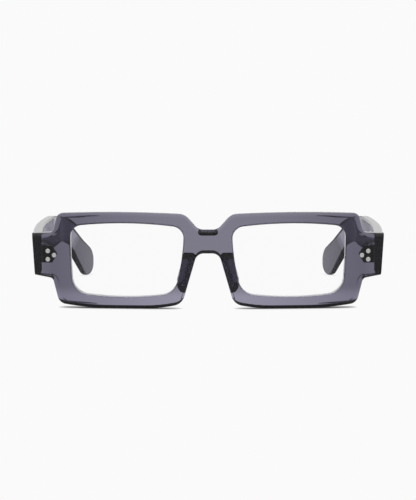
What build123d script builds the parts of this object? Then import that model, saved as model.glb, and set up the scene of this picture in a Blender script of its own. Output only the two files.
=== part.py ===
from build123d import *
import math
import os

os.makedirs("parts", exist_ok=True)

# Square spectacles in thick clear grey sheet, standing open on a table. Sizes are in millimetres.
# X runs towards the wearer's left, so the wearer's right side is at minus X. The face of the front
# looks along minus Y, the temples run to plus Y, and Z is up. The origin is on the table, under the
# middle of the whole object.

# Lens openings and the rims around them
opening_width = 47.45
opening_height = 31.0
bridge_size = 20.3
top_rim = 4.55
bottom_rim = 4.9
side_rim = 7.6
nose_rim = 5.55

# Outline of the front around the rims
top_crown = 0.7
shoulder_inset = 0.45
bridge_ramp = 5.7
bridge_top_drop = 7.15
bridge_height = 10.1
side_top_inset = 2.1
side_toe_inset = 2.7
toe_lift = 1.95
nose_toe = 0.65
foot_width = 14.0

# End pieces, which carry the hinges
endpiece_reach = 8.65
endpiece_height = 17.6
endpiece_drop = 9.15
endpiece_lean = 1.1
endpiece_top_rise = 0.4
endpiece_bottom_fall = 1.35
endpiece_thickness = 7.15

# Thickness, face form and edges of the front
bridge_thickness = 4.8
face_radius = 450.0
back_radius = 300.0
front_edge_round = 2.0
back_edge_round = 2.2
opening_edge_round = 0.3

# Bevel behind the top of the bridge
bridge_bevel = 2.7
bridge_bevel_deg = 45.0
bridge_bevel_width = 8.6

# Corner rounds of the front's outline
valley_round = 4.5
shoulder_round = 6.0
temporal_round = 2.8
step_top_round = 2.2
step_bottom_round = 2.0
outer_toe_round = 4.0
inner_toe_round = 5.5
arch_round = 3.8

# Corner rounds of the lens openings
opening_top_round = 5.0
opening_bottom_round = 7.5

# Lenses, and the tongue and groove that hold them
lens_radius = 150.0
lens_thickness = 1.8
tongue_thickness = 0.9
tongue_height = 0.5
lens_clearance = 0.05

# Temples
temple_reach = 129.0
temple_thickness = 4.1
temple_height = 16.4
temple_waist_height = 11.3
temple_step = 0.3
temple_edge_round = 0.85
butt_clearance = 0.1

# Run of a temple seen from above
temple_splay_deg = 4.3
hinge_run = 15.0
bow_end_length = 51.5086
bow_turn_deg = 9.3
ear_bend_radius = 35.0
ear_turn_deg = 19.5
flush_turn_deg = 2.4
tip_thinning_deg = 4.2

# Drop of a temple behind the ear, seen from the side: it widens to a rounded paddle
ear_length = 27.0
ear_drop_deg = 38.0
paddle_length = 10.0
paddle_drop_deg = 33.0
under_drop_deg = 50.0
ear_top_round = 30.0
ear_under_round = 20.0
paddle_round = 60.0
tip_top_round = 8.0
tip_bottom_round = 5.3

# Five-knuckle hinges
leaf_height = 7.2
leaf_thickness = 0.9
front_leaf_width = 4.2
temple_leaf_length = 10.5
temple_leaf_gap = 0.3
leaf_corner_round = 1.2
barrel_radius = 1.35
barrel_clearance = 0.12
knuckle_clearance = 0.06
hinge_drop = 9.1
knuckle_count = 5

# Hinge screws
screw_radius = 0.6
screw_clearance = 0.06
screw_head_radius = 1.1
screw_head_height = 0.55
screw_head_round = 0.15
screw_slot_width = 0.3
screw_slot_depth = 0.3

# Rivets that hold the hinges
rivet_radius = 0.6
rivet_head_radius = 1.0
rivet_head_height = 0.6
rivet_proud = 0.15
rivet_dimple_radius = 0.35
rivet_dimple_depth = 0.15
rivet_head_round = 0.12
rivet_clearance = 0.02
rivet_pitch = 3.5
rivet_offset = 2.65
front_rivet_inset = 1.3
temple_rivet_inset = 3.2

# Nose pads
pad_height = 15.5
pad_depth = 5.6
pad_root = 1.0
pad_base_z = 8.4
pad_nose_drop = 3.8
pad_nose_inset = 0.45
pad_rim_inset = 1.25
pad_rim_shift = 4.0807
pad_crest_height = 10.0
pad_crest_width = 2.6
pad_splay = 1.2
pad_corner_round = 1.0
pad_crest_round = 0.7

# One overrun serves every cut, and edges steeper than the limit count as upright
overrun = 5.0
upright_limit = 0.98

# Corners and mid-edge crowns of a lens opening, as shares of its width and height from its nasal
# bottom corner, going round from the nasal top corner
opening_corner_shares = [(0.0, 0.94), (1.0, 0.952), (0.976, 0.056), (0.086, 0.053)]
opening_crown_shares = [(0.5, 1.0), (0.994, 0.5), (0.53, 0.0), (0.021, 0.49)]

# Middle section of a nose pad between its root and its crest, as shares of the way and of the change
pad_middle_share = 0.6
pad_swell_share = 0.3


def sag(radius, reach):
    """Depth of an arc below its crown, at a reach from the crown."""
    return radius - math.sqrt(radius**2 - reach**2)


# Places on the front
front_height = bottom_rim + opening_height + top_rim
opening_inner_x = bridge_size / 2
opening_outer_x = opening_inner_x + opening_width
opening_middle_x = (opening_inner_x + opening_outer_x) / 2
opening_middle_z = bottom_rim + opening_height / 2
rim_x = opening_outer_x + side_rim
half_width = rim_x + endpiece_reach
bridge_top_z = front_height - bridge_top_drop
bridge_bottom_z = bridge_top_z - bridge_height
endpiece_top_z = front_height - endpiece_drop
endpiece_bottom_z = endpiece_top_z - endpiece_height
face_y = -temple_reach / 2
tip_y = face_y + temple_reach
butt_y = face_y + sag(face_radius, rim_x) + endpiece_thickness
back_y = face_y + bridge_thickness + sag(back_radius, half_width)

# Hinge pivot of the left side, and the directions along and square to the temple beside it
hinge_z = endpiece_top_z - hinge_drop
splay = math.radians(temple_splay_deg)
along = Vector(math.sin(splay), math.cos(splay), 0)
outward = Vector(math.cos(splay), -math.sin(splay), 0)
seat_reach = barrel_radius + barrel_clearance
outer_reach = seat_reach + temple_thickness
pivot_y = butt_y + leaf_thickness + barrel_clearance + barrel_radius
pivot_back = (butt_y - pivot_y + outer_reach * math.sin(splay)) / math.cos(splay)
pivot_x = half_width - outer_reach * math.cos(splay) - pivot_back * math.sin(splay)
pivot = Vector(pivot_x, pivot_y, hinge_z)
leaf_bottom_z = hinge_z - leaf_height / 2
leaf_top_z = hinge_z + leaf_height / 2
knuckle_height = (leaf_height - (knuckle_count - 1) * knuckle_clearance) / knuckle_count

# Planes that carry the profiles
front_plane = Plane.XZ.offset(overrun - face_y)
front_depth = back_y - face_y + 2 * overrun
floor_plane = Plane.XY.offset(-overrun)
floor_rise = front_height + 2 * overrun
front_leaf_plane = Plane.XZ.offset(-butt_y - leaf_thickness)
temple_leaf_plane = Plane(origin=pivot + outward * seat_reach, x_dir=along, z_dir=outward)

# Corners of the left half of the front's outline, from the top of the bridge round to its underside
bridge_top = (0, bridge_top_z)
valley = (opening_inner_x - shoulder_inset - bridge_ramp, bridge_top_z)
shoulder = (opening_inner_x - shoulder_inset, front_height - top_crown)
crown = (opening_middle_x, front_height)
temporal = (rim_x - side_top_inset, front_height - top_crown)
step_top = (rim_x, endpiece_top_z + endpiece_top_rise)
endpiece_top = (half_width, endpiece_top_z)
endpiece_bottom = (half_width - endpiece_lean, endpiece_bottom_z)
step_bottom = (rim_x, endpiece_bottom_z - endpiece_bottom_fall)
outer_toe = (rim_x - side_toe_inset, toe_lift)
outer_foot = (opening_middle_x + foot_width / 2, 0)
inner_foot = (opening_middle_x - foot_width / 2, 0)
inner_toe = (opening_inner_x + nose_toe, toe_lift)
arch = (opening_inner_x - nose_rim, bridge_bottom_z)
arch_top = (0, bridge_bottom_z)


def round_corners(sketch, corners, rounds):
    """Round the listed corners of the sketch that is being drawn."""
    for corner, radius in zip(corners, rounds):
        fillet(sketch.vertices().sort_by_distance(corner)[0], radius)


def opening_point(shares, growth):
    """Place in a left lens opening grown all round, from its shares of the width and height."""
    grown_width = opening_width + 2 * growth
    grown_height = opening_height + 2 * growth
    return (
        opening_inner_x - growth + shares[0] * grown_width,
        bottom_rim - growth + shares[1] * grown_height,
    )


def opening_shape(growth):
    """Left lens opening, grown all round: four bowed edges with rounded corners."""
    corners = [opening_point(shares, growth) for shares in opening_corner_shares]
    crowns = [opening_point(shares, growth) for shares in opening_crown_shares]
    rounds = [opening_top_round, opening_top_round, opening_bottom_round, opening_bottom_round]
    with BuildSketch() as shape:
        with BuildLine():
            for index, middle in enumerate(crowns):
                ThreePointArc(corners[index], middle, corners[(index + 1) % len(corners)])
        make_face()
        round_corners(shape, corners, [radius + growth for radius in rounds])
    return shape.sketch


# The left lens follows the middle of the rim, which sweeps back towards the temple
def rim_middle_y(x):
    """Middle of the front's thickness at a place across it."""
    return face_y + (sag(face_radius, x) + bridge_thickness + sag(back_radius, x)) / 2


inner_y = rim_middle_y(opening_inner_x)
outer_y = rim_middle_y(opening_outer_x)
lens_turn = math.atan2(outer_y - inner_y, opening_width)
lens_across = Vector(math.cos(lens_turn), math.sin(lens_turn), 0)
lens_forward = Vector(math.sin(lens_turn), -math.cos(lens_turn), 0)
lens_middle = Vector(opening_middle_x, (inner_y + outer_y) / 2, opening_middle_z)
lens_crown = lens_middle + lens_forward * sag(lens_radius, opening_width / 2)
lens_centre = lens_crown - lens_forward * lens_radius


def lens_blank(growth, thickness):
    """Left lens opening's outline, grown all round and cut from a curved shell."""
    with BuildPart() as blank:
        with BuildSketch(front_plane):
            add(opening_shape(growth))
        extrude(amount=-front_depth)
        with Locations(lens_centre):
            Sphere(radius=lens_radius + thickness / 2, mode=Mode.INTERSECT)
            Sphere(radius=lens_radius - thickness / 2, mode=Mode.SUBTRACT)
    return blank.part


# Rivets: the triangle through the front's end piece, and the one through the temple
front_rivet_x = pivot_x - front_rivet_inset
front_rivet_places = {
    "top": (front_rivet_x, hinge_z + rivet_pitch / 2),
    "bottom": (front_rivet_x, hinge_z - rivet_pitch / 2),
    "inner": (front_rivet_x - rivet_offset, hinge_z),
}
temple_rivet_run = temple_leaf_gap + barrel_radius + temple_rivet_inset
temple_rivet_places = {
    "top": (temple_rivet_run, hinge_z + rivet_pitch / 2),
    "bottom": (temple_rivet_run, hinge_z - rivet_pitch / 2),
    "rear": (temple_rivet_run + rivet_offset, hinge_z),
}


def flush_depth(run, z):
    """Depth that the flush cut takes off the temple's outer face beside the hinge."""
    lean_rate = endpiece_lean / endpiece_height
    return lean_rate * (endpiece_top_z - z) - (run - pivot_back) * math.tan(math.radians(flush_turn_deg))


def front_rivet_seat(place):
    """Plane of a front rivet's head and the rivet's length, to the back of the hinge leaf."""
    head_y = face_y + sag(face_radius, place[0]) - rivet_proud
    seat = Plane(origin=(place[0], head_y, place[1]), x_dir=(1, 0, 0), z_dir=(0, -1, 0))
    return seat, butt_y + leaf_thickness - head_y


def temple_rivet_seat(place):
    """Plane of a temple rivet's head and the rivet's length, to the inside of the hinge leaf."""
    head_reach = outer_reach - max(flush_depth(*place), 0) + rivet_proud
    foot = Vector(pivot_x, pivot_y, place[1])
    seat = Plane(origin=foot + along * place[0] + outward * head_reach, x_dir=along, z_dir=outward)
    return seat, head_reach - seat_reach + leaf_thickness


def rivet(seat, length):
    """Round rivet with a dimpled head on its seat plane, and a plain shank behind."""
    section = Plane(origin=seat.origin, x_dir=seat.x_dir, z_dir=-seat.y_dir)
    with BuildPart() as pin:
        with BuildSketch(section) as profile:
            with BuildLine():
                Polyline(
                    (0, -length),
                    (rivet_radius, -length),
                    (rivet_radius, -rivet_head_height),
                    (rivet_head_radius, -rivet_head_height),
                    (rivet_head_radius, 0),
                    (rivet_dimple_radius, 0),
                    (0, -rivet_dimple_depth),
                    close=True,
                )
            make_face()
            round_corners(profile, [(rivet_head_radius, 0)], [rivet_head_round])
        revolve(axis=Axis(origin=seat.origin, direction=seat.z_dir))
    return pin.part


def bore_for_rivet(seat, length):
    """Seat for a rivet's head and a hole for its shank, in the part in hand."""
    with Locations(seat):
        CounterBoreHole(
            radius=rivet_radius + rivet_clearance,
            counter_bore_radius=rivet_head_radius + rivet_clearance,
            counter_bore_depth=rivet_head_height,
            depth=length,
        )


# Front: one milled plate with a curved face, two lens openings, and flat seats for the temples
with BuildPart() as front:
    with BuildSketch(front_plane) as front_outline:
        with BuildLine():
            Line(bridge_top, valley)
            Line(valley, shoulder)
            ThreePointArc(shoulder, crown, temporal)
            Polyline(temporal, step_top, endpiece_top, endpiece_bottom, step_bottom, outer_toe)
            TangentArc(outer_foot, outer_toe, tangent=(1, 0))
            Line(outer_foot, inner_foot)
            TangentArc(inner_foot, inner_toe, tangent=(-1, 0))
            Polyline(inner_toe, arch, arch_top, bridge_top)
        make_face()
        round_corners(
            front_outline,
            [valley, shoulder, temporal, step_top, step_bottom, outer_toe, inner_toe, arch],
            [
                valley_round,
                shoulder_round,
                temporal_round,
                step_top_round,
                step_bottom_round,
                outer_toe_round,
                inner_toe_round,
                arch_round,
            ],
        )
        mirror(about=Plane.YZ)
    extrude(amount=-front_depth)

    with BuildSketch(floor_plane):
        plan_reach = half_width + overrun
        front_sag = sag(face_radius, plan_reach)
        rear_sag = sag(back_radius, plan_reach) + bridge_thickness
        with BuildLine():
            face_arc = ThreePointArc(
                (-plan_reach, face_y + front_sag), (0, face_y), (plan_reach, face_y + front_sag)
            )
            back_arc = ThreePointArc(
                (plan_reach, face_y + rear_sag),
                (0, face_y + bridge_thickness),
                (-plan_reach, face_y + rear_sag),
            )
            Line(face_arc @ 1, back_arc @ 0)
            Line(back_arc @ 1, face_arc @ 0)
        make_face()
    extrude(amount=floor_rise, mode=Mode.INTERSECT)

    # The long edges are rounded except at the end pieces' sides, which the temples meet flush
    side_limit = half_width - endpiece_lean
    for order, edge_round in ((0, front_edge_round), (-1, back_edge_round)):
        broad_faces = front.faces().filter_by(GeomType.CYLINDER).sort_by(SortBy.AREA)[-2:]
        rim_edges = broad_faces.sort_by(Axis.Y)[order].outer_wire().edges()
        fillet(rim_edges.filter_by(lambda edge: abs(edge.center().X) < side_limit), edge_round)

    with BuildSketch(front_plane):
        add(opening_shape(0))
        mirror(about=Plane.YZ)
    extrude(amount=-front_depth, mode=Mode.SUBTRACT)
    broad_faces = front.faces().filter_by(GeomType.CYLINDER).sort_by(SortBy.AREA)[-2:]
    opening_edges = [edge for face in broad_faces for wire in face.inner_wires() for edge in wire.edges()]
    fillet(opening_edges, opening_edge_round)

    groove = lens_blank(tongue_height + lens_clearance, tongue_thickness + 2 * lens_clearance)
    add(groove, mode=Mode.SUBTRACT)
    add(mirror(groove, about=Plane.YZ, mode=Mode.PRIVATE), mode=Mode.SUBTRACT)

    with BuildSketch(Plane.XZ.offset(-butt_y)):
        Rectangle(2 * half_width + 2 * overrun, 2 * floor_rise)
    extrude(amount=-front_depth, mode=Mode.SUBTRACT)

    # A round-ended bevel is milled behind the top of the bridge
    bevel_middle = (0, face_y + bridge_thickness - bridge_bevel / 2, bridge_top_z - bridge_bevel / 2)
    with BuildSketch(Plane(origin=bevel_middle, x_dir=(1, 0, 0), z_dir=(0, 1, 1))):
        SlotOverall(bridge_bevel_width, bridge_bevel / math.cos(math.radians(bridge_bevel_deg)))
    extrude(amount=bridge_bevel, mode=Mode.SUBTRACT)

    for place in front_rivet_places.values():
        for side in (1, -1):
            seat, length = front_rivet_seat(place)
            mirrored_origin = (side * seat.origin.X, seat.origin.Y, seat.origin.Z)
            bore_for_rivet(Plane(origin=mirrored_origin, x_dir=seat.x_dir, z_dir=seat.z_dir), length)

# Lenses: flat-edged meniscus with a tongue that sits in the rim's groove
with BuildPart() as lens_left:
    add(lens_blank(-lens_clearance, lens_thickness))
    add(lens_blank(tongue_height, tongue_thickness))

# Nose pads: bonded to the back of the rims between the nose side and the opening, and leaning out
nose_lean = math.atan2(inner_toe[0] - arch[0], arch[1] - inner_toe[1])
rim_top = opening_point(opening_corner_shares[0], 0)
rim_bottom = opening_point(opening_corner_shares[-1], 0)
rim_lean = math.atan2(pad_rim_shift, rim_top[1] - rim_bottom[1])
pad_top_z = pad_base_z + pad_height


def pad_side_points(start, lean, inset, base_z):
    """Top and bottom of a pad's root, on a line that leans out from its start, and set in from it."""
    places = []
    for z in (pad_top_z, base_z):
        places.append(Vector(start[0] + (start[1] - z) * math.tan(lean) + inset, z))
    return places


nose_top, nose_bottom = pad_side_points(arch, nose_lean, pad_nose_inset, pad_base_z - pad_nose_drop)
outer_top, outer_bottom = pad_side_points(rim_top, rim_lean, -pad_rim_inset, pad_base_z)
root_corners = [nose_top, outer_top, outer_bottom, nose_bottom]
pad_across = Vector(math.cos(nose_lean), math.sin(nose_lean))
pad_up = Vector(-math.sin(nose_lean), math.cos(nose_lean))
crest_middle = sum(root_corners, Vector(0, 0)) / len(root_corners) + pad_across * pad_splay
crest_reach = pad_across * (pad_crest_width / 2)
crest_rise = pad_up * (pad_crest_height / 2)
crest_corners = [
    crest_middle - crest_reach + crest_rise,
    crest_middle + crest_reach + crest_rise,
    crest_middle + crest_reach - crest_rise,
    crest_middle - crest_reach - crest_rise,
]

with BuildPart() as nose_pad_left:
    for share in (0, pad_middle_share, 1):
        swell = share + pad_swell_share * share * (share - 1)
        section_y = face_y + bridge_thickness - pad_root + (pad_root + pad_depth) * share
        corners = [root + (crest - root) * swell for root, crest in zip(root_corners, crest_corners)]
        with BuildSketch(Plane.XZ.offset(-section_y)) as pad_section:
            Polygon(*corners, align=None)
            round_corners(pad_section, corners, [pad_corner_round] * len(corners))
    loft()
    crest_edges = nose_pad_left.faces().sort_by(Axis.Y)[-1].edges()
    fillet(crest_edges, pad_crest_round)
    add(front.part, mode=Mode.SUBTRACT)

# Temples: cut from sheet to the side profile, bowed round the head and bent down behind the ear
temple_top_z = endpiece_top_z - temple_step
temple_bottom_z = temple_top_z - temple_height
waist_z = temple_top_z - temple_waist_height
ear_top = (tip_y - ear_length, temple_top_z)
paddle_fall = (ear_length - paddle_length) * math.tan(math.radians(ear_drop_deg))
paddle_top = (tip_y - paddle_length, temple_top_z - paddle_fall)
tip_fall = paddle_length * math.tan(math.radians(paddle_drop_deg))
tip_top = (tip_y, paddle_top[1] - tip_fall)

# The rounded tip rests on the table, which sets the corner that it is rounded from
under_drop = math.radians(under_drop_deg)
tip_corner_fall = tip_bottom_round / math.tan((math.pi / 2 - under_drop) / 2) - tip_bottom_round
tip_corner = (tip_y, -tip_corner_fall)
ear_under = (tip_y - (waist_z + tip_corner_fall) / math.tan(under_drop), waist_z)

with BuildPart() as temple_left:
    with BuildSketch(Plane.YZ) as side_profile:
        with BuildLine():
            Polyline(
                (butt_y + butt_clearance, temple_top_z),
                ear_top,
                paddle_top,
                tip_top,
                tip_corner,
                ear_under,
                (butt_y + butt_clearance, temple_bottom_z),
                close=True,
            )
        make_face()
        round_corners(
            side_profile,
            [ear_top, paddle_top, tip_top, tip_corner, ear_under],
            [ear_top_round, paddle_round, tip_top_round, tip_bottom_round, ear_under_round],
        )
    extrude(amount=half_width + endpiece_reach)

    with BuildSketch(floor_plane):
        run_start = pivot + outward * (seat_reach + temple_thickness / 2) + along * (pivot_back - overrun)
        bow_start = run_start + along * (hinge_run + overrun)
        bow_radius = (temple_reach - hinge_run - bow_end_length) / math.radians(bow_turn_deg)
        # The outer face turns a little further in behind the ear than the inner face does
        for turn, mode in ((ear_turn_deg, Mode.ADD), (ear_turn_deg + tip_thinning_deg, Mode.INTERSECT)):
            with BuildLine():
                hinge_line = Line((run_start.X, run_start.Y), (bow_start.X, bow_start.Y))
                bow = JernArc(hinge_line @ 1, hinge_line % 1, bow_radius, bow_turn_deg)
                bend = JernArc(bow @ 1, bow % 1, ear_bend_radius, turn)
                Line(bend @ 1, (bend @ 1) + (bend % 1) * temple_reach)
            trace(line_width=temple_thickness, mode=mode)
    extrude(amount=floor_rise, mode=Mode.INTERSECT)

    long_edges = temple_left.edges().filter_by(lambda edge: edge.center().Y > butt_y + butt_clearance)
    fillet(long_edges.filter_by(lambda edge: abs((edge % (1 / 2)).Z) < upright_limit), temple_edge_round)

    # Beside the hinge the outer face is filed flush with the end piece's leaning side
    flush_turn = splay + math.radians(flush_turn_deg)
    flush_run = Vector(math.sin(flush_turn), math.cos(flush_turn), 0)
    flush_fall = Vector(-endpiece_lean, 0, -endpiece_height)
    flush_corner = Vector(half_width, butt_y, endpiece_top_z)
    flush_plane = Plane(origin=flush_corner, x_dir=flush_run, z_dir=flush_fall.cross(flush_run))
    split(bisect_by=flush_plane, keep=Keep.BOTTOM)

    for place in temple_rivet_places.values():
        seat, length = temple_rivet_seat(place)
        bore_for_rivet(seat, length)


def knuckle_bottom_z(index):
    """Underside of a hinge knuckle, counted from the lowest."""
    return leaf_bottom_z + index * (knuckle_height + knuckle_clearance)


def bore_for_screw():
    """Screw bore down through all the knuckles of the part in hand."""
    with Locations(Plane(origin=(pivot_x, pivot_y, leaf_top_z))):
        Hole(radius=screw_radius + screw_clearance, depth=leaf_height)


# Front hinge leaves: a plate riveted behind the end piece, with every other knuckle. Plate and
# knuckles stop short of the temple's inner face.
leaf_outer_x = pivot_x + barrel_radius - 2 * barrel_clearance
web_width = leaf_outer_x - pivot_x + barrel_radius
web_middle_x = leaf_outer_x - web_width / 2
web_depth = pivot_y - butt_y - leaf_thickness
with BuildPart() as front_hinge_left:
    with BuildSketch(front_leaf_plane):
        with Locations((leaf_outer_x - front_leaf_width / 2, hinge_z)):
            leaf_blank = Rectangle(front_leaf_width, leaf_height)
        with Locations(front_rivet_places["inner"]):
            leaf_tongue = Circle(leaf_corner_round)
        make_hull(leaf_blank.edges() + leaf_tongue.edges())
    extrude(amount=leaf_thickness)
    for place in front_rivet_places.values():
        seat, length = front_rivet_seat(place)
        bore_for_rivet(seat, length)
    for index in range(0, knuckle_count, 2):
        with BuildSketch(Plane.XY.offset(knuckle_bottom_z(index))):
            with Locations((pivot_x, pivot_y)):
                Circle(barrel_radius)
            with Locations((web_middle_x, pivot_y - web_depth / 2)):
                Rectangle(web_width, web_depth)
        extrude(amount=knuckle_height)
    bore_for_screw()

# Temple hinge leaves: a plate riveted inside the temple, with the knuckles in between
with BuildPart() as temple_hinge_left:
    with BuildSketch(temple_leaf_plane) as leaf_outline:
        leaf_start = barrel_radius + temple_leaf_gap
        leaf_middle = leaf_start + temple_leaf_length / 2
        with Locations((leaf_middle, 0)):
            Rectangle(temple_leaf_length, leaf_height)
        rear_corners = leaf_outline.vertices().sort_by(Axis.X)[-2:]
        fillet(rear_corners, leaf_corner_round)
    extrude(amount=-leaf_thickness)
    for place in temple_rivet_places.values():
        seat, length = temple_rivet_seat(place)
        bore_for_rivet(seat, length)
    for index in range(1, knuckle_count, 2):
        knuckle_origin = (pivot_x, pivot_y, knuckle_bottom_z(index))
        with BuildSketch(Plane(origin=knuckle_origin, x_dir=outward, z_dir=(0, 0, 1))):
            Circle(barrel_radius)
            web_length = leaf_start + leaf_thickness
            with Locations((seat_reach / 2, web_length / 2)):
                Rectangle(seat_reach, web_length)
        extrude(amount=knuckle_height)
    bore_for_screw()

# Hinge screws: slotted heads on the top knuckles, plain shanks through all five
with BuildPart() as hinge_screw_left:
    with BuildSketch(Plane.XY.offset(leaf_bottom_z)):
        with Locations((pivot_x, pivot_y)):
            Circle(screw_radius)
    extrude(amount=leaf_height)
    with BuildSketch(Plane.XY.offset(leaf_top_z)):
        with Locations((pivot_x, pivot_y)):
            Circle(screw_head_radius)
    extrude(amount=screw_head_height)
    fillet(hinge_screw_left.edges().group_by(Axis.Z)[-1], screw_head_round)
    with BuildSketch(Plane.XY.offset(leaf_top_z + screw_head_height)):
        with Locations((pivot_x, pivot_y)):
            Rectangle(2 * screw_head_radius, screw_slot_width)
    extrude(amount=-screw_slot_depth, mode=Mode.SUBTRACT)

# Every piece of the left side, with the name that it has without its side
left_pieces = {
    "lens": lens_left.part,
    "nose_pad": nose_pad_left.part,
    "temple": temple_left.part,
    "front_hinge": front_hinge_left.part,
    "temple_hinge": temple_hinge_left.part,
    "hinge_screw": hinge_screw_left.part,
}
for place_name, place in front_rivet_places.items():
    left_pieces["front_rivet_" + place_name] = rivet(*front_rivet_seat(place))
for place_name, place in temple_rivet_places.items():
    left_pieces["temple_rivet_" + place_name] = rivet(*temple_rivet_seat(place))

front.part.label = "front"
export_step(front.part, "parts/front.step")
for piece_name, left_piece in left_pieces.items():
    with BuildPart() as left_copy:
        add(left_piece)
    with BuildPart() as right_copy:
        mirror(left_piece, about=Plane.YZ)
    for side_name, copy in (("left", left_copy), ("right", right_copy)):
        copy.part.label = piece_name + "_" + side_name
        export_step(copy.part, "parts/" + copy.part.label + ".step")
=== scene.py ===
import math

import bmesh
import bpy
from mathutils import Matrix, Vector


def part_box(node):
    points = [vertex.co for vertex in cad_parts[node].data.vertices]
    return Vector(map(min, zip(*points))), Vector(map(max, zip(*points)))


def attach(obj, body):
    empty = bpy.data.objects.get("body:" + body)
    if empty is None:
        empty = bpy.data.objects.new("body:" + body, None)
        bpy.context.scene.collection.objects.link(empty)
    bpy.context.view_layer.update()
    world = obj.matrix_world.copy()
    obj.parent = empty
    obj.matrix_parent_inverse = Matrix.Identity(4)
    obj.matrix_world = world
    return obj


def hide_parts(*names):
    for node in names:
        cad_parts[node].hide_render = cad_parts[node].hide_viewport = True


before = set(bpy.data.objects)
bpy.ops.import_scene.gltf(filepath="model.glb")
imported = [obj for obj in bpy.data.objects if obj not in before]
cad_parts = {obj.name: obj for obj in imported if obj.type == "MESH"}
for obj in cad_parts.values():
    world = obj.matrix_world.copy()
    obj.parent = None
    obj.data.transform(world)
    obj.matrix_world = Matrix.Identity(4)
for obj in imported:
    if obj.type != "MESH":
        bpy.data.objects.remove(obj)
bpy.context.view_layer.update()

# Table and background. The spectacles stand on a white table in front of a white background. Both
# glow evenly, and only a tight painted shadow, from an occlusion test, shows where the rims touch
# down.
TABLE_RADIUS = 3.0
TABLE_WHITE = (0.9, 0.9, 0.9, 1.0)
BACKGROUND_WHITE = (0.956, 0.956, 0.956, 1.0)
PLAIN_WHITE = (1.0, 1.0, 1.0, 1.0)
ROOM_LIGHT = 0.55
DARK_STUDIO = 0.02
DARK_FROM_RISE = (0.12, 0.2)
SECOND_PIECE = (2.4, 3.6)
SECOND_PIECE_LEVEL = 0.9
MIRRORED_FRONT = 0.5
MIRRORED_BACK = 1.0
MIRRORED_TURN = (0.7, 0.95)
MIRRORED_TABLE = (0.15, 0.25)
CEILING_RISE = (0.3, 0.6)
CEILING_LEVEL = 0.9
CONTACT_SHADOW_REACH = 0.0027
SHADOW_PLACE = (-0.03, 0.02)
TIP_SHADOW = 0.25

world = bpy.data.worlds.new("studio")
bpy.context.scene.world = world
world.use_nodes = True


def add_node(tree, kind, **settings):
    """A new node in a tree, with its settings and unlinked inputs filled in."""
    node = tree.nodes.new(kind)
    for name, value in settings.items():
        if name in node.inputs:
            node.inputs[name].default_value = value
        else:
            setattr(node, name, value)
    return node


def greater(tree, first, second):
    """The greater of two values of a tree."""
    result = add_node(tree, "ShaderNodeMath", operation="MAXIMUM")
    tree.links.new(first, result.inputs[0])
    tree.links.new(second, result.inputs[1])
    return result.outputs[0]


def faded(tree, value, span, before, after):
    """A level that changes smoothly while a value passes through a span."""
    ramp = add_node(tree, "ShaderNodeMapRange", interpolation_type="SMOOTHSTEP")
    tree.links.new(value, ramp.inputs["Value"])
    for name, number in zip(("From Min", "From Max", "To Min", "To Max"), (*span, before, after)):
        ramp.inputs[name].default_value = number
    return ramp.outputs[0]


def chosen(tree, share, first, second):
    """One value or the other: the first where the share is 0, the second where it is 1."""
    choice = add_node(tree, "ShaderNodeMix")
    for socket, value in (("Factor", share), ("A", first), ("B", second)):
        if isinstance(value, float):
            choice.inputs[socket].default_value = value
        else:
            tree.links.new(value, choice.inputs[socket])
    return choice.outputs["Result"]


def seen_directly(tree, path):
    """1 for rays that show the surroundings, plainly, in metal or through glass, 0 for lighting."""
    seen_or_mirrored = greater(tree, path.outputs["Is Camera Ray"], path.outputs["Is Glossy Ray"])
    return greater(tree, seen_or_mirrored, path.outputs["Is Transmission Ray"])


# Clear pieces show the white background low down and the dark studio above it, and light that has
# passed a second piece comes from all round. Polish mirrors a dim front, and a bright back and
# ceiling.
tree = world.node_tree
tree.nodes.clear()
direction = add_node(tree, "ShaderNodeTexCoord")
parts = add_node(tree, "ShaderNodeSeparateXYZ")
tree.links.new(direction.outputs["Generated"], parts.inputs[0])
low = faded(tree, parts.outputs["Z"], DARK_FROM_RISE, 1.0, DARK_STUDIO)
path = add_node(tree, "ShaderNodeLightPath")
deep = faded(tree, path.outputs["Transmission Depth"], SECOND_PIECE, 0.0, SECOND_PIECE_LEVEL)
through_glass = greater(tree, low, deep)
mirrored_low = faded(tree, parts.outputs["Y"], MIRRORED_TURN, MIRRORED_FRONT, MIRRORED_BACK)
mirrored_high = faded(tree, parts.outputs["Z"], CEILING_RISE, 0.0, CEILING_LEVEL)
mirrored = greater(tree, mirrored_low, mirrored_high)
reflected = chosen(tree, path.outputs["Is Transmission Ray"], mirrored, through_glass)
seen_level = chosen(tree, path.outputs["Is Camera Ray"], reflected, 1.0)
shown = add_node(tree, "ShaderNodeBackground", Color=BACKGROUND_WHITE)
tree.links.new(seen_level, shown.inputs["Strength"])
lighting = add_node(tree, "ShaderNodeBackground", Color=PLAIN_WHITE, Strength=ROOM_LIGHT)
either = add_node(tree, "ShaderNodeMixShader")
tree.links.new(seen_directly(tree, path), either.inputs[0])
tree.links.new(lighting.outputs[0], either.inputs[1])
tree.links.new(shown.outputs[0], either.inputs[2])
output = add_node(tree, "ShaderNodeOutputWorld")
tree.links.new(either.outputs[0], output.inputs["Surface"])

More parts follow.
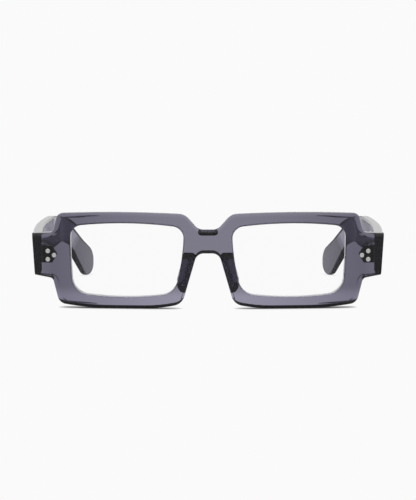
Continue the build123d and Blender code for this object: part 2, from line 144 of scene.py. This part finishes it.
bpy.ops.mesh.primitive_circle_add(vertices=64, radius=TABLE_RADIUS, fill_type="NGON")
table = bpy.context.object
table.name = "table"
white_table = bpy.data.materials.new("white_table")
white_table.use_nodes = True
tree = white_table.node_tree
tree.nodes.clear()
# Painted shadow: the table's even glow is darkened close to the object by an occlusion test, less
# so towards the temple tips.
painted_shadow_occlusion = add_node(tree, "ShaderNodeAmbientOcclusion", samples=8)
painted_shadow_occlusion.inputs["Distance"].default_value = CONTACT_SHADOW_REACH
shade = add_node(tree, "ShaderNodeMix", data_type="RGBA", blend_type="MULTIPLY")
shade.inputs["A"].default_value = BACKGROUND_WHITE
tree.links.new(painted_shadow_occlusion.outputs["Color"], shade.inputs["B"])
path = add_node(tree, "ShaderNodeLightPath")
place = add_node(tree, "ShaderNodeTexCoord")
parts = add_node(tree, "ShaderNodeSeparateXYZ")
tree.links.new(place.outputs["Object"], parts.inputs[0])
shadow_share = faded(tree, parts.outputs["Y"], SHADOW_PLACE, 1.0, TIP_SHADOW)
tree.links.new(shadow_share, shade.inputs["Factor"])
mirrored = faded(tree, parts.outputs["Y"], MIRRORED_TABLE, MIRRORED_FRONT, MIRRORED_BACK)
mirror_level = chosen(tree, path.outputs["Is Glossy Ray"], 1.0, mirrored)
seen_level = chosen(tree, path.outputs["Is Transmission Ray"], mirror_level, 1.0)
glow_with_painted_shadow = add_node(tree, "ShaderNodeEmission")
tree.links.new(shade.outputs["Result"], glow_with_painted_shadow.inputs["Color"])
tree.links.new(seen_level, glow_with_painted_shadow.inputs["Strength"])
lit = add_node(tree, "ShaderNodeBsdfDiffuse", Color=TABLE_WHITE)
either = add_node(tree, "ShaderNodeMixShader")
tree.links.new(seen_directly(tree, path), either.inputs[0])
tree.links.new(lit.outputs[0], either.inputs[1])
tree.links.new(glow_with_painted_shadow.outputs[0], either.inputs[2])
output = add_node(tree, "ShaderNodeOutputMaterial")
tree.links.new(either.outputs[0], output.inputs["Surface"])
table.data.materials.append(white_table)

# Front. One plate of clear grey acetate, sawn out with both rims, the bridge and the end pieces,
# then milled to a curve, rounded at its edges, tumbled and polished.
ACETATE_INDEX = 1.5
ACETATE_COLOUR = (0.3, 0.285, 0.385, 1.0)
ACETATE_TINT = (0.92, 0.895, 1.0, 1.0)
FRONT_DENSITY = 310.0
LOWER_RIM_TOP = (0.0045, 0.0095)
FRONT_PAINTED_SHADE = (0.95, 0.64)
UPWARDS = (0.0, 0.0, 1.0)
RIPPLE_SCALE = 90.0
RIPPLE_STRENGTH = 0.08
RIPPLE_HEIGHT = 0.0002
POLISH_SCALE = 1800.0
POLISH_SPAN = (0.35, 0.75)
POLISH_ROUGHNESS = (0.006, 0.036)


def polished_acetate(name, density, direction, change, painted_shade_levels):
    """Clear grey acetate, coloured by its depth, with painted shade: its colour darkens once in a
    direction.
    """
    material = bpy.data.materials.new(name)
    material.use_nodes = True
    tree = material.node_tree
    surface = tree.nodes["Principled BSDF"]
    surface.inputs["IOR"].default_value = ACETATE_INDEX
    surface.inputs["Transmission Weight"].default_value = 1.0
    place = add_node(tree, "ShaderNodeTexCoord")
    way = add_node(tree, "ShaderNodeVectorMath", operation="DOT_PRODUCT")
    way.inputs[1].default_value = direction
    tree.links.new(place.outputs["Object"], way.inputs[0])
    # Painted shade: the base colour changes from one level to another along the given direction.
    painted_shade_or_streaks = faded(tree, way.outputs["Value"], change, *painted_shade_levels)
    tint_with_painted_shade = add_node(tree, "ShaderNodeMix", data_type="RGBA", blend_type="MULTIPLY")
    tint_with_painted_shade.inputs["Factor"].default_value = 1.0
    tint_with_painted_shade.inputs["A"].default_value = ACETATE_TINT
    tree.links.new(painted_shade_or_streaks, tint_with_painted_shade.inputs["B"])
    tree.links.new(tint_with_painted_shade.outputs["Result"], surface.inputs["Base Color"])
    ripples = add_node(tree, "ShaderNodeTexNoise", Scale=RIPPLE_SCALE, Detail=1.0)
    wheel_marks = add_node(tree, "ShaderNodeTexNoise", Scale=POLISH_SCALE, Detail=2.0)
    for noise in (ripples, wheel_marks):
        tree.links.new(place.outputs["Object"], noise.inputs["Vector"])
    gloss = faded(tree, wheel_marks.outputs[0], POLISH_SPAN, *POLISH_ROUGHNESS)
    tree.links.new(gloss, surface.inputs["Roughness"])
    bump = add_node(tree, "ShaderNodeBump", Strength=RIPPLE_STRENGTH, Distance=RIPPLE_HEIGHT)
    tree.links.new(ripples.outputs[0], bump.inputs["Height"])
    tree.links.new(bump.outputs[0], surface.inputs["Normal"])
    depth = add_node(tree, "ShaderNodeVolumeAbsorption", Color=ACETATE_COLOUR, Density=density)
    tree.links.new(depth.outputs[0], tree.nodes["Material Output"].inputs["Volume"])
    return material


def finish_node(name, material):
    """A CAD node shown as it is, in this material."""
    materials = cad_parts[name].data.materials
    materials.clear()
    materials.append(material)


# Painted shade: the front's colour is darker above the lower rim than in it.
front_acetate = polished_acetate(
    "front_acetate", FRONT_DENSITY, UPWARDS, LOWER_RIM_TOP, FRONT_PAINTED_SHADE
)
finish_node("front", front_acetate)

# Lenses. Clear plastic, coated against reflections, ground to a curve and snapped into the grooves
# of the rims. A cloth has left faint smears on them.
LENS_INDEX = 1.2
SMEAR_SCALE = 140.0
SMEAR_SPAN = (0.5, 0.8)
SMEAR_ROUGHNESS = 0.004

coated_lens = bpy.data.materials.new("coated_lens")
coated_lens.use_nodes = True
tree = coated_lens.node_tree
surface = tree.nodes["Principled BSDF"]
surface.inputs["Base Color"].default_value = PLAIN_WHITE
surface.inputs["IOR"].default_value = LENS_INDEX
surface.inputs["Transmission Weight"].default_value = 1.0
place = add_node(tree, "ShaderNodeTexCoord")
smears = add_node(tree, "ShaderNodeTexNoise", Scale=SMEAR_SCALE, Detail=5.0, Distortion=1.2)
tree.links.new(place.outputs["Object"], smears.inputs["Vector"])
gloss = faded(tree, smears.outputs[0], SMEAR_SPAN, 0.0, SMEAR_ROUGHNESS)
tree.links.new(gloss, surface.inputs["Roughness"])
for side in ("left", "right"):
    finish_node("lens_" + side, coated_lens)

# Nose pads. Small blocks of the same acetate, bonded behind the nose side of the rims and filed to
# a rounded crest.
PAD_DENSITY = 420.0
PAD_FOOT = (0.004, 0.008)
PAD_PAINTED_SHADE = (0.9, 0.7)

# Painted shade: the pads' colour is darker above their foot than at it.
pad_acetate = polished_acetate("pad_acetate", PAD_DENSITY, UPWARDS, PAD_FOOT, PAD_PAINTED_SHADE)
for side in ("left", "right"):
    finish_node("nose_pad_" + side, pad_acetate)

# Hinge leaves. Stamped and rolled nickel silver, brushed along the temples, one leaf behind each
# end piece and one inside each temple.
LEAF_COLOUR = (0.62, 0.61, 0.59)
LEAF_ROUGHNESS = 0.3
BRUSH_SCALE = (300.0, 300.0, 9000.0)
BRUSH_SPAN = (0.3, 0.7)
BRUSH_DARKENING = 0.86
BRUSH_POLISHING = 0.7
BRUSH_DULLING = 1.3
BRUSH_STRENGTH = 0.25
BRUSH_HEIGHT = 0.00002


def brushed_metal(name, colour, roughness, brush_scale):
    """Plain white metal with fine brush marks, which dull and darken it in streaks."""
    material = bpy.data.materials.new(name)
    material.use_nodes = True
    tree = material.node_tree
    surface = tree.nodes["Principled BSDF"]
    surface.inputs["Metallic"].default_value = 1.0
    place = add_node(tree, "ShaderNodeTexCoord")
    stretch = add_node(tree, "ShaderNodeMapping")
    stretch.inputs["Scale"].default_value = brush_scale
    tree.links.new(place.outputs["Object"], stretch.inputs["Vector"])
    streaks = add_node(tree, "ShaderNodeTexNoise", Scale=1.0, Detail=4.0)
    tree.links.new(stretch.outputs[0], streaks.inputs["Vector"])
    painted_shade_or_streaks = add_node(tree, "ShaderNodeMix", data_type="RGBA")
    painted_shade_or_streaks.inputs["A"].default_value = (*(part * BRUSH_DARKENING for part in colour), 1.0)
    painted_shade_or_streaks.inputs["B"].default_value = (*colour, 1.0)
    tree.links.new(streaks.outputs[0], painted_shade_or_streaks.inputs["Factor"])
    tree.links.new(painted_shade_or_streaks.outputs["Result"], surface.inputs["Base Color"])
    smoothest, roughest = roughness * BRUSH_POLISHING, roughness * BRUSH_DULLING
    gloss = faded(tree, streaks.outputs[0], BRUSH_SPAN, smoothest, roughest)
    tree.links.new(gloss, surface.inputs["Roughness"])
    bump = add_node(tree, "ShaderNodeBump", Strength=BRUSH_STRENGTH, Distance=BRUSH_HEIGHT)
    tree.links.new(streaks.outputs[0], bump.inputs["Height"])
    tree.links.new(bump.outputs[0], surface.inputs["Normal"])
    return material


nickel_silver = brushed_metal("nickel_silver", LEAF_COLOUR, LEAF_ROUGHNESS, BRUSH_SCALE)
for side in ("left", "right"):
    finish_node("front_hinge_" + side, nickel_silver)
    finish_node("temple_hinge_" + side, nickel_silver)

# Temples. Sawn from a thinner sheet of the same acetate, bent inwards and down behind the ears,
# thinned towards their rounded tips and polished.
TEMPLE_DENSITY = 360.0
TIP_START = (0.032, 0.0355)
TIP_DIRECTION = (0.0, 1.0, -0.875)
TEMPLE_PAINTED_SHADE = (0.8, 0.3)

# Painted shade: the temples' colour darkens towards the back and bottom, over their tips.
temple_acetate = polished_acetate(
    "temple_acetate", TEMPLE_DENSITY, TIP_DIRECTION, TIP_START, TEMPLE_PAINTED_SHADE
)
for side in ("left", "right"):
    finish_node("temple_" + side, temple_acetate)

# Rivets. Turned white metal pins with low domed heads, each dimpled by the punch, set through the
# acetate into the hinge leaves: three in each end piece and three in each temple.
RIVET_COLOUR = (0.93, 0.93, 0.92)
RIVET_ROUGHNESS = 0.28
RIVET_GRAIN = (2500.0, 2500.0, 2500.0)
RIVET_HEAD_RADIUS = 0.001
RIVET_HEAD_HEIGHT = 0.0006
RIVET_SHANK_RADIUS = 0.0006
RIVET_SEED = 7
HEAD_STEPS = 40
SHANK_STEPS = 24
TURNED_EDGE = math.radians(50)
TEMPLE_SPLAY = math.radians(4.3)
DOME_SHARES = [
    (0.0, -0.24),
    (0.14, -0.22),
    (0.26, -0.1),
    (0.34, -0.02),
    (0.44, 0.0),
    (0.62, -0.02),
    (0.78, -0.06),
    (0.9, -0.13),
    (0.97, -0.23),
    (1.0, -0.36),
    (1.0, -1.0),
    (0.0, -1.0),
]


def turned_blank(name, outline, steps):
    """A round piece turned about Z from an outline of radii and heights, kept out of the scene."""
    points, rings, faces = [], [], []
    for radius, height in outline:
        turns = [math.tau * step / steps for step in range(steps if radius else 1)]
        rings.append(range(len(points), len(points) + len(turns)))
        points += [(radius * math.cos(turn), radius * math.sin(turn), height) for turn in turns]
    for upper, lower in zip(rings, rings[1:]):
        for step in range(steps):
            near, far = step, (step + 1) % steps
            corners = [(upper, near), (lower, near), (lower, far), (upper, far)]
            faces.append(list(dict.fromkeys(ring[place % len(ring)] for ring, place in corners)))
    mesh = bpy.data.meshes.new(name)
    mesh.from_pydata(points, [], faces)
    mesh.shade_smooth()
    mesh.set_sharp_from_angle(angle=TURNED_EDGE)
    return bpy.data.objects.new(name, mesh)


def turned_shank(name, radius):
    """A plain round pin that hangs down from its place, one metre long until it is scaled."""
    return turned_blank(name, [(0, 0), (radius, 0), (radius, -1.0), (0, -1.0)], SHANK_STEPS)


dome = [(radius * RIVET_HEAD_RADIUS, height * RIVET_HEAD_HEIGHT) for radius, height in DOME_SHARES]
rivet_head = turned_blank("rivet_head", dome, HEAD_STEPS)
rivet_shank = turned_shank("rivet_shank", RIVET_SHANK_RADIUS)

fastener_setting = bpy.data.node_groups.new("fastener_setting", "GeometryNodeTree")
FASTENER_INPUTS = [
    ("Geometry", "NodeSocketGeometry"),
    ("Head", "NodeSocketObject"),
    ("Shank", "NodeSocketObject"),
    ("Head height", "NodeSocketFloat"),
    ("Most turn", "NodeSocketFloat"),
    ("Seed", "NodeSocketInt"),
    ("Metal", "NodeSocketMaterial"),
]


def open_tree(tree, inputs):
    """A node tree's named inputs and its one output, with the nodes that stand for them."""
    sockets = {}
    for name, kind in inputs:
        socket = tree.interface.new_socket(name, in_out="INPUT", socket_type=kind)
        sockets[name] = socket.identifier
    tree.interface.new_socket("Geometry", in_out="OUTPUT", socket_type="NodeSocketGeometry")
    return sockets, tree.nodes.new("NodeGroupInput"), tree.nodes.new("NodeGroupOutput")


fastener_sockets, given, made = open_tree(fastener_setting, FASTENER_INPUTS)
tree = fastener_setting
axis = add_node(tree, "GeometryNodeInputNamedAttribute", data_type="FLOAT_VECTOR", Name="axis")
length = add_node(tree, "GeometryNodeInputNamedAttribute", data_type="FLOAT", Name="shank_length")
lined_up = add_node(tree, "FunctionNodeAlignRotationToVector", axis="Z")
tree.links.new(axis.outputs[0], lined_up.inputs["Vector"])
turn = add_node(tree, "FunctionNodeRandomValue", data_type="FLOAT")
tree.links.new(given.outputs["Most turn"], turn.inputs[3])
tree.links.new(given.outputs["Seed"], turn.inputs["Seed"])
spin = add_node(tree, "ShaderNodeCombineXYZ")
tree.links.new(turn.outputs[1], spin.inputs["Z"])
turned = add_node(tree, "FunctionNodeRotateRotation", rotation_space="LOCAL")
tree.links.new(lined_up.outputs[0], turned.inputs[0])
tree.links.new(spin.outputs[0], turned.inputs[1])

set_heads = add_node(tree, "GeometryNodeInstanceOnPoints")
head = add_node(tree, "GeometryNodeObjectInfo")
tree.links.new(given.outputs["Head"], head.inputs["Object"])
tree.links.new(given.outputs["Geometry"], set_heads.inputs["Points"])
tree.links.new(head.outputs["Geometry"], set_heads.inputs["Instance"])
tree.links.new(turned.outputs[0], set_heads.inputs["Rotation"])

below_head = add_node(tree, "ShaderNodeMath", operation="MULTIPLY")
below_head.inputs[1].default_value = -1.0
tree.links.new(given.outputs["Head height"], below_head.inputs[0])
sunk = add_node(tree, "ShaderNodeVectorMath", operation="SCALE")
tree.links.new(axis.outputs[0], sunk.inputs[0])
tree.links.new(below_head.outputs[0], sunk.inputs["Scale"])
shank_places = add_node(tree, "GeometryNodeSetPosition")
tree.links.new(given.outputs["Geometry"], shank_places.inputs["Geometry"])
tree.links.new(sunk.outputs[0], shank_places.inputs["Offset"])
stretch = add_node(tree, "ShaderNodeCombineXYZ", X=1.0, Y=1.0)
tree.links.new(length.outputs[0], stretch.inputs["Z"])
set_shanks = add_node(tree, "GeometryNodeInstanceOnPoints")
shank = add_node(tree, "GeometryNodeObjectInfo")
tree.links.new(given.outputs["Shank"], shank.inputs["Object"])
tree.links.new(shank_places.outputs[0], set_shanks.inputs["Points"])
tree.links.new(shank.outputs["Geometry"], set_shanks.inputs["Instance"])
tree.links.new(turned.outputs[0], set_shanks.inputs["Rotation"])
tree.links.new(stretch.outputs[0], set_shanks.inputs["Scale"])

both = add_node(tree, "GeometryNodeJoinGeometry")
tree.links.new(set_heads.outputs[0], both.inputs[0])
tree.links.new(set_shanks.outputs[0], both.inputs[0])
solid = add_node(tree, "GeometryNodeRealizeInstances")
tree.links.new(both.outputs[0], solid.inputs[0])
plated = add_node(tree, "GeometryNodeSetMaterial")
tree.links.new(solid.outputs[0], plated.inputs["Geometry"])
tree.links.new(given.outputs["Metal"], plated.inputs["Material"])
tree.links.new(plated.outputs[0], made.inputs[0])


def places_mesh(name, places):
    """Loose points, each with the axis that a fastener stands on and the length of its shank."""
    mesh = bpy.data.meshes.new(name)
    mesh.from_pydata([place for place, _, _ in places], [], [])
    axes = mesh.attributes.new("axis", "FLOAT_VECTOR", "POINT")
    axes.data.foreach_set("vector", [part for _, direction, _ in places for part in direction])
    lengths = mesh.attributes.new("shank_length", "FLOAT", "POINT")
    lengths.data.foreach_set("value", [length for _, _, length in places])
    holder = bpy.data.objects.new(name, mesh)
    bpy.context.scene.collection.objects.link(holder)
    return holder


def set_fasteners(name, places, tree, values):
    """Fasteners set on their places by a node tree, and made one plain mesh."""
    holder = places_mesh(name, places)
    setting = holder.modifiers.new("setting", "NODES")
    setting.node_group = tree
    for socket, value in values.items():
        setting[socket] = value
    settled = holder.evaluated_get(bpy.context.evaluated_depsgraph_get())
    mesh = bpy.data.meshes.new_from_object(settled)
    holder.modifiers.remove(setting)
    holder.data = mesh
    return holder


rivet_metal = brushed_metal("rivet_metal", RIVET_COLOUR, RIVET_ROUGHNESS, RIVET_GRAIN)
rivet_values = {
    fastener_sockets["Head"]: rivet_head,
    fastener_sockets["Shank"]: rivet_shank,
    fastener_sockets["Head height"]: RIVET_HEAD_HEIGHT,
    fastener_sockets["Most turn"]: math.tau,
    fastener_sockets["Seed"]: RIVET_SEED,
    fastener_sockets["Metal"]: rivet_metal,
}


def replace_fasteners(name, body, nodes, direction, values):
    """Fasteners of one body that point the same way, each in the place of its CAD node."""
    places = []
    outward = Vector(direction).normalized()
    head_height = values[fastener_sockets["Head height"]]
    for node in nodes:
        points = [vertex.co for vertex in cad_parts[node].data.vertices]
        reaches = [point.dot(outward) for point in points]
        middle = sum((Vector(corner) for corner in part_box(node)), Vector()) / 2
        top = middle + outward * (max(reaches) - middle.dot(outward))
        places.append((top, outward, max(reaches) - min(reaches) - head_height))
    fasteners = set_fasteners(name, places, fastener_setting, values)
    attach(fasteners, body)
    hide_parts(*nodes)


for side, sign in (("left", 1), ("right", -1)):
    sideways = (sign * math.cos(TEMPLE_SPLAY), -math.sin(TEMPLE_SPLAY), 0.0)
    for carrier, body, spots, direction in (
        ("front", "front", ("top", "bottom", "inner"), (0.0, -1.0, 0.0)),
        ("temple", "temple_" + side, ("top", "bottom", "rear"), sideways),
    ):
        nodes = [carrier + "_rivet_" + spot + "_" + side for spot in spots]
        name = carrier + "_rivets_" + side
        replace_fasteners(name, body, nodes, direction, rivet_values)

# Hinge screws. Turned steel with a low head, each sawn with one slot and dropped through the five
# knuckles of a hinge, so a temple turns about it.
SCREW_COLOUR = (0.72, 0.72, 0.73)
SCREW_ROUGHNESS = 0.25
SCREW_GRAIN = (4000.0, 4000.0, 4000.0)
SCREW_HEAD_RADIUS = 0.0011
SCREW_HEAD_HEIGHT = 0.00055
SCREW_SHANK_RADIUS = 0.0006
SLOT_WIDTH = 0.0003
SLOT_DEPTH = 0.0003
SAW_LENGTH = SCREW_HEAD_RADIUS * 3
SAWN_EDGE = math.radians(40)
SCREW_SHARES = [
    (0.0, 0.0),
    (0.6, -0.03),
    (0.85, -0.12),
    (0.96, -0.25),
    (1.0, -0.45),
    (1.0, -1.0),
    (0.0, -1.0),
]


def slotted(blank, length, width, depth):
    """A turned head with one slot sawn across its top."""
    shape = bmesh.new()
    bmesh.ops.create_cube(shape, size=1.0)
    bmesh.ops.scale(shape, vec=(length, width, depth * 2), verts=shape.verts)
    saw_mesh = bpy.data.meshes.new("saw")
    shape.to_mesh(saw_mesh)
    shape.free()
    saw = bpy.data.objects.new("saw", saw_mesh)
    cut = blank.modifiers.new("slot", "BOOLEAN")
    cut.operation = "DIFFERENCE"
    cut.object = saw
    bpy.context.scene.collection.objects.link(blank)
    settled = blank.evaluated_get(bpy.context.evaluated_depsgraph_get())
    mesh = bpy.data.meshes.new_from_object(settled)
    bpy.context.scene.collection.objects.unlink(blank)
    blank.modifiers.remove(cut)
    blank.data = mesh
    mesh.set_sharp_from_angle(angle=SAWN_EDGE)
    bpy.data.objects.remove(saw)
    return blank


screw_outline = [
    (radius * SCREW_HEAD_RADIUS, height * SCREW_HEAD_HEIGHT) for radius, height in SCREW_SHARES
]
screw_blank = turned_blank("screw_head", screw_outline, HEAD_STEPS)
screw_head = slotted(screw_blank, SAW_LENGTH, SLOT_WIDTH, SLOT_DEPTH)
screw_shank = turned_shank("screw_shank", SCREW_SHANK_RADIUS)
screw_steel = brushed_metal("screw_steel", SCREW_COLOUR, SCREW_ROUGHNESS, SCREW_GRAIN)
screw_values = dict(rivet_values)
screw_values[fastener_sockets["Head"]] = screw_head
screw_values[fastener_sockets["Shank"]] = screw_shank
screw_values[fastener_sockets["Head height"]] = SCREW_HEAD_HEIGHT
screw_values[fastener_sockets["Metal"]] = screw_steel
screw_nodes = ["hinge_screw_left", "hinge_screw_right"]
replace_fasteners("hinge_screws", "front", screw_nodes, UPWARDS, screw_values)

# Light and camera. One large soft box hangs over the table, and the camera stands in front, a
# little above the bridge.
TABLE_CENTRE = (0.0, 0.0, 0.0)
LAMP_PLACE = (0.0, 0.1, 0.9)
LAMP_SIZE = (1.0, 0.7)
LAMP_POWER = 6.0


def soft_box(name, place, target, size, power):
    """A rectangular studio lamp, turned to a target, that metal and polish don't mirror."""
    lamp = bpy.data.lights.new(name, "AREA")
    lamp.shape = "RECTANGLE"
    lamp.size, lamp.size_y = size
    lamp.energy = power
    holder = bpy.data.objects.new(name, lamp)
    holder.location = place
    holder.rotation_euler = (Vector(target) - Vector(place)).to_track_quat("-Z", "Y").to_euler()
    holder.visible_glossy = False
    bpy.context.scene.collection.objects.link(holder)


soft_box("top_box", LAMP_PLACE, TABLE_CENTRE, LAMP_SIZE, LAMP_POWER)

FACE_PLACE = Vector((0.0, -0.0645, 0.0249))
CAMERA_DISTANCE = 0.85
CAMERA_RISE = math.radians(6.0)
PHOTO_HEIGHT = 500.0
PIXELS_PER_RADIAN = 2040.0
NEAREST_SEEN = 0.01
lens = bpy.data.cameras.new("photo_camera")
lens.lens = PIXELS_PER_RADIAN / PHOTO_HEIGHT * lens.sensor_width
lens.clip_start = NEAREST_SEEN
camera = bpy.data.objects.new("photo_camera", lens)
toward = Vector((0.0, math.cos(CAMERA_RISE), -math.sin(CAMERA_RISE)))
camera.location = FACE_PLACE - toward * CAMERA_DISTANCE
camera.rotation_euler = toward.to_track_quat("-Z", "Y").to_euler()
bpy.context.scene.collection.objects.link(camera)
bpy.context.scene.camera = camera
bpy.context.scene.view_settings.view_transform = "Standard"
